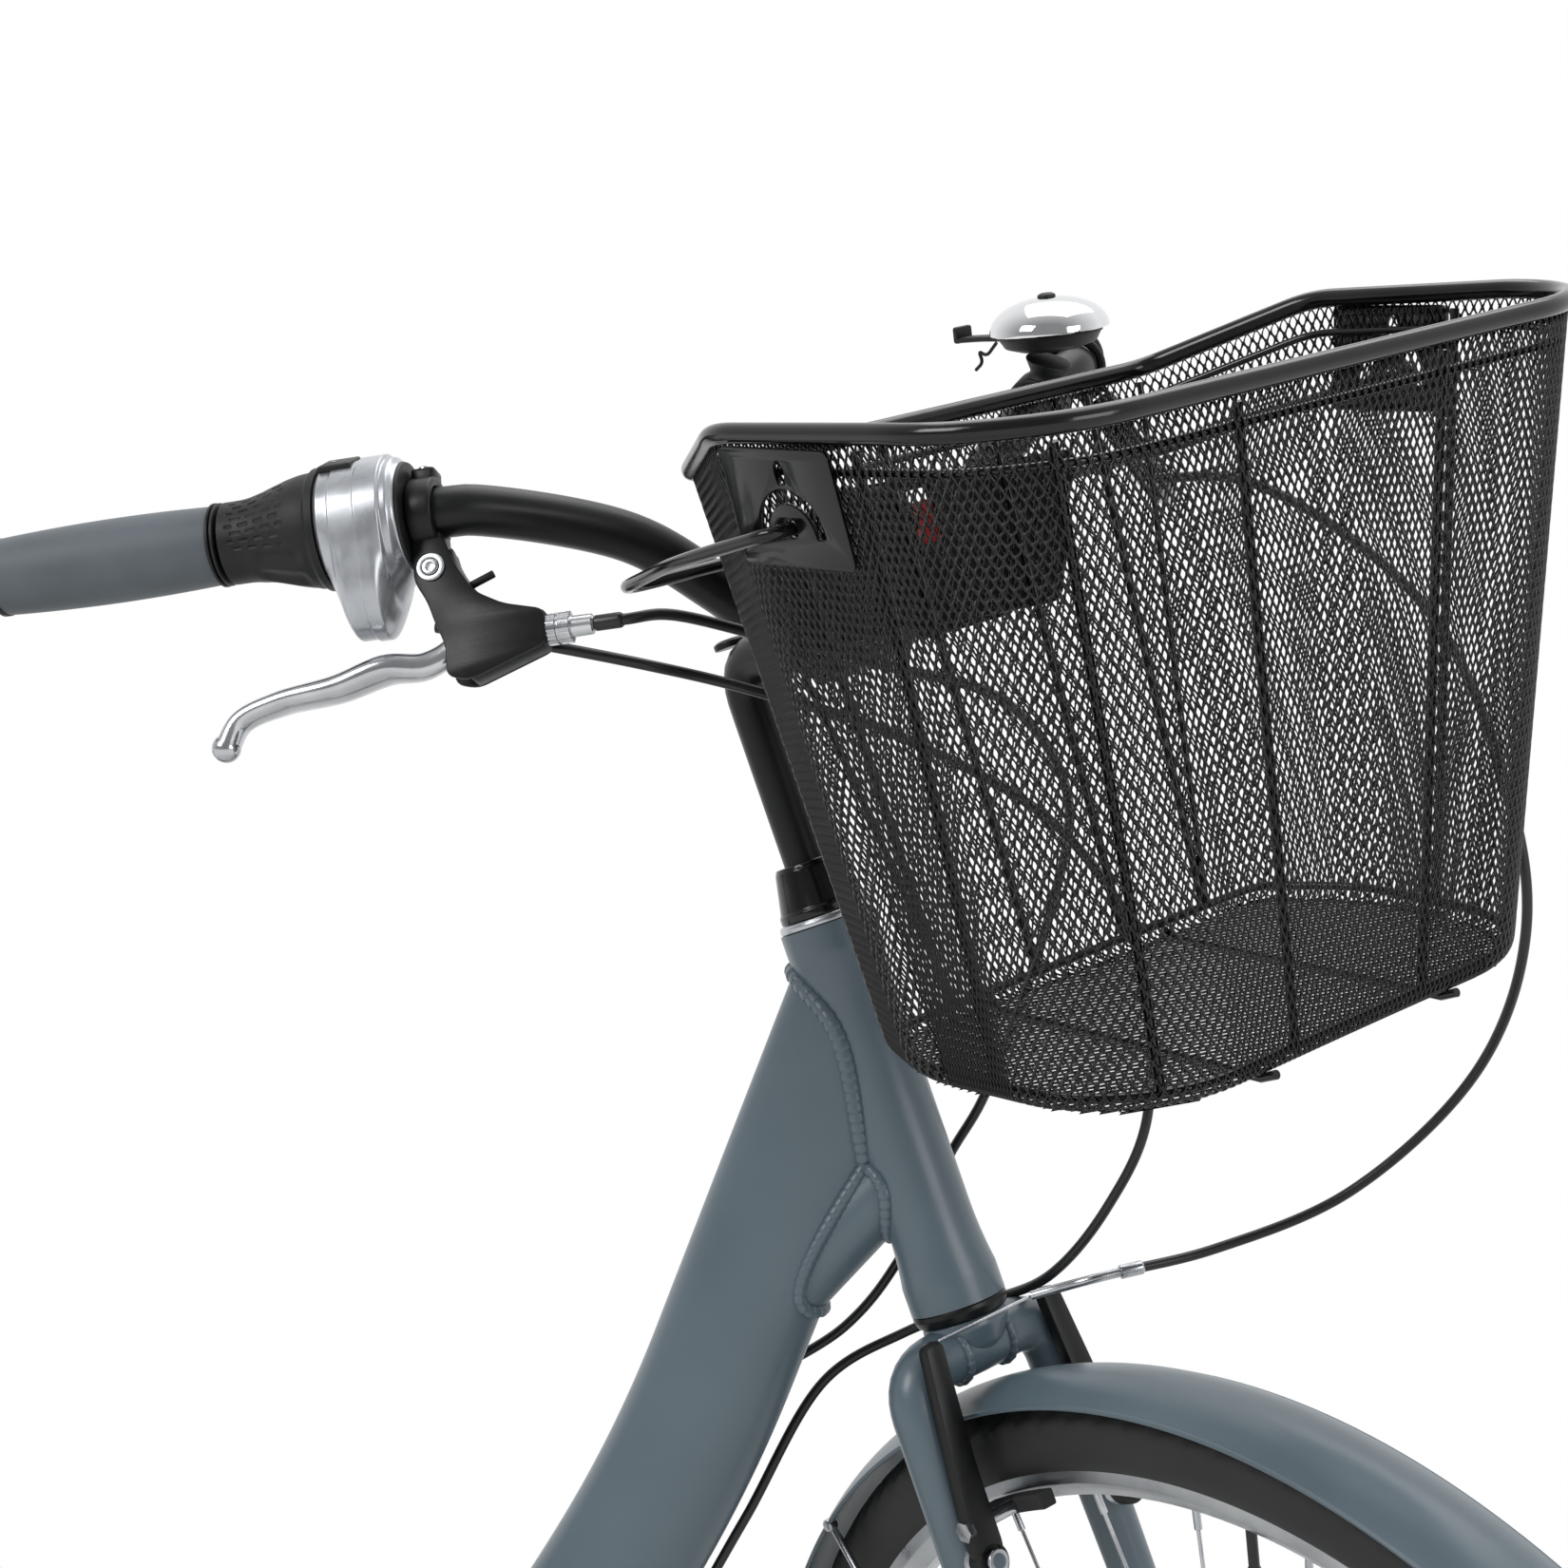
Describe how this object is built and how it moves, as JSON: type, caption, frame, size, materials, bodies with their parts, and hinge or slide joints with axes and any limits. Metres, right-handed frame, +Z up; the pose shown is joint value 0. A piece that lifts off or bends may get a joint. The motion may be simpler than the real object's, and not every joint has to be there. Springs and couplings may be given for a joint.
{
  "type": "step-through bicycle",
  "caption": "Step-through city bicycle with low curved main tube, front wire-mesh basket, twist shifter, rim brakes, mudguards and centre stand, bars turned to the right.",
  "frame": {"origin": "on the ground, below the middle of the bicycle's overall box with the bars turned as in the picture", "axes": "+X towards the front of the bicycle along its frame, +Y to the rider's left, +Z up"},
  "size_m": [1.7344, 0.6782, 1.2057],
  "materials": {
    "slate_paint": "satin",
    "black_enamel": "gloss",
    "satin_black": "satin",
    "silver": "satin",
    "chrome": "polished",
    "black_plastic": "matte",
    "grey_rubber": "matte",
    "tyre_rubber": "matte",
    "red_plastic": "satin",
    "saddle_vinyl": "satin"
  },
  "bodies": {
    "frame": {"frame": "slate_paint", "rear_stays_left": "slate_paint", "rear_stays_right": "slate_paint", "headset_cup_top": "silver", "headset_cup_bottom": "satin_black", "bottom_bracket": "satin_black", "seat_post": "silver", "saddle_rails": "silver", "saddle": "saddle_vinyl", "rear_mudguard": "slate_paint", "chain_guard": "satin_black", "rear_axle": "silver", "chain": "satin_black", "rear_brake_cable": "satin_black", "gear_cable": "satin_black"},
    "steering": {"fork": "slate_paint", "steering_lock_nut": "satin_black", "stem": "satin_black", "handlebar": "satin_black", "grip_left": "grey_rubber", "grip_right": "grey_rubber", "shifter_housing": "silver", "brake_bracket_left": "satin_black", "brake_bracket_right": "satin_black", "bell_base": "black_plastic", "bell_dome": "chrome", "basket_frame": "black_enamel", "basket_rear_wall": "black_enamel", "basket_left_wall": "black_enamel", "basket_right_wall": "black_enamel", "basket_front_wall": "black_enamel", "basket_floor": "black_enamel", "basket_hanger_left": "black_enamel", "basket_hanger_right": "black_enamel", "basket_bracket": "satin_black", "bar_adapter": "satin_black", "front_axle": "silver", "front_mudguard": "slate_paint", "front_brake_cable": "satin_black"},
    "front_wheel": {"front_hub": "silver", "front_rim": "silver", "front_tyre": "tyre_rubber"},
    "rear_wheel": {"rear_hub": "silver", "rear_rim": "silver", "rear_tyre": "tyre_rubber"},
    "cranks": {"crankset": "silver"},
    "sprocket": {"rear_sprocket": "silver"},
    "right_pedal": {"pedal_right": "black_plastic"},
    "left_pedal": {"pedal_left": "black_plastic"},
    "stand": {"centre_stand": "satin_black"},
    "right_lever": {"brake_lever_right": "silver"},
    "left_lever": {"brake_lever_left": "silver"},
    "bell_thumb": {"bell_lever": "black_plastic"},
    "twist_grip": {"shifter_twist": "black_plastic"},
    "carrying_handle": {"basket_handle": "black_enamel"},
    "button": {"release_button": "red_plastic"},
    "front_arm_left": {"front_brake_arm_left": "satin_black"},
    "front_arm_right": {"front_brake_arm_right": "satin_black"},
    "rear_arm_left": {"rear_brake_arm_left": "satin_black"},
    "rear_arm_right": {"rear_brake_arm_right": "satin_black"}
  },
  "joints": [
    {"name": "steering_joint", "type": "hinge", "parent": "frame", "child": "steering", "pos_m": [0.33101, 0.03635, 0.88856], "axis": [-0.342, 0, 0.9397], "range_deg": [-24, 96], "deforming": ["rear_brake_cable", "gear_cable"]},
    {"name": "front_wheel_joint", "type": "hinge", "parent": "steering", "child": "front_wheel", "pos_m": [0.57252, 0.00696, 0.34327], "axis": [0.5523, 0.809, 0.201], "continuous": true},
    {"name": "rear_wheel_joint", "type": "hinge", "parent": "frame", "child": "rear_wheel", "pos_m": [-0.5185, 0.03635, 0.35], "axis": [0, 1, 0], "continuous": true},
    {"name": "crank_joint", "type": "hinge", "parent": "frame", "child": "cranks", "pos_m": [-0.07252, 0.03635, 0.29], "axis": [0, 1, 0], "continuous": true},
    {"name": "sprocket_joint", "type": "hinge", "parent": "frame", "child": "sprocket", "pos_m": [-0.5185, 0.03635, 0.35], "axis": [0, 1, 0], "continuous": true},
    {"name": "right_pedal_joint", "type": "hinge", "parent": "cranks", "child": "right_pedal", "pos_m": [0.09748, 0.03635, 0.29], "axis": [0, 1, 0], "continuous": true},
    {"name": "left_pedal_joint", "type": "hinge", "parent": "cranks", "child": "left_pedal", "pos_m": [-0.24252, 0.03635, 0.29], "axis": [0, 1, 0], "continuous": true},
    {"name": "stand_joint", "type": "hinge", "parent": "frame", "child": "stand", "pos_m": [-0.14752, 0.03635, 0.25], "axis": [0, 1, 0], "range_deg": [0, 95]},
    {"name": "right_lever_joint", "type": "hinge", "parent": "steering", "child": "right_lever", "pos_m": [0.22089, -0.183, 1.05986], "axis": [-0.0741, 0.9439, -0.3218], "range_deg": [0, 15], "stiffness_Nm_per_rad": 1.5, "springref_deg": -5.73},
    {"name": "left_lever_joint", "type": "hinge", "parent": "steering", "child": "left_lever", "pos_m": [0.44606, 0.14682, 1.14182], "axis": [0.801, 0.1208, 0.5864], "range_deg": [0, 15], "stiffness_Nm_per_rad": 1.5, "springref_deg": -5.73},
    {"name": "bell_lever_joint", "type": "hinge", "parent": "steering", "child": "bell_thumb", "pos_m": [0.42047, 0.09218, 1.17415], "axis": [-0.0614, -0.201, 0.9777], "range_deg": [0, 20], "stiffness_Nm_per_rad": 0.05, "springref_deg": -2.86},
    {"name": "shifter_joint", "type": "hinge", "parent": "steering", "child": "twist_grip", "pos_m": [0.22269, -0.17393, 1.08605], "axis": [-0.9827, -0.1241, -0.1376], "range_deg": [-60, 60]},
    {"name": "basket_handle_joint", "type": "hinge", "parent": "steering", "child": "carrying_handle", "pos_m": [0.50646, -0.13904, 1.11231], "axis": [0.5523, 0.809, 0.201], "range_deg": [0, 110]},
    {"name": "release_button_joint", "type": "slide", "parent": "steering", "child": "button", "axis": [-0.2642, -0.0588, 0.9627], "range_m": [0, 0.005], "stiffness_N_per_m": 500, "springref_m": -0.001},
    {"name": "front_arm_left_joint", "type": "hinge", "parent": "steering", "child": "front_arm_left", "pos_m": [0.47716, 0.0628, 0.61186], "axis": [0.7602, -0.5878, 0.2767], "range_deg": [0, 3.4]},
    {"name": "front_arm_right_joint", "type": "hinge", "parent": "steering", "child": "front_arm_right", "pos_m": [0.4258, -0.01244, 0.59316], "axis": [-0.7602, 0.5878, -0.2767], "range_deg": [0, 3.4]},
    {"name": "rear_arm_left_joint", "type": "hinge", "parent": "frame", "child": "rear_arm_left", "pos_m": [-0.33587, 0.08485, 0.56961], "axis": [0.7246, 0, -0.6891], "range_deg": [0, 3.4]},
    {"name": "rear_arm_right_joint", "type": "hinge", "parent": "frame", "child": "rear_arm_right", "pos_m": [-0.33587, -0.01215, 0.56961], "axis": [-0.7246, 0, 0.6891], "range_deg": [0, 3.4]}
  ],
  "couplings": [
    {"joint": "sprocket_joint", "follows": "crank_joint", "ratio": 2},
    {"joint": "front_arm_left_joint", "follows": "left_lever_joint", "ratio": 0.226},
    {"joint": "front_arm_right_joint", "follows": "left_lever_joint", "ratio": 0.226},
    {"joint": "rear_arm_left_joint", "follows": "right_lever_joint", "ratio": 0.226},
    {"joint": "rear_arm_right_joint", "follows": "right_lever_joint", "ratio": 0.226}
  ]
}
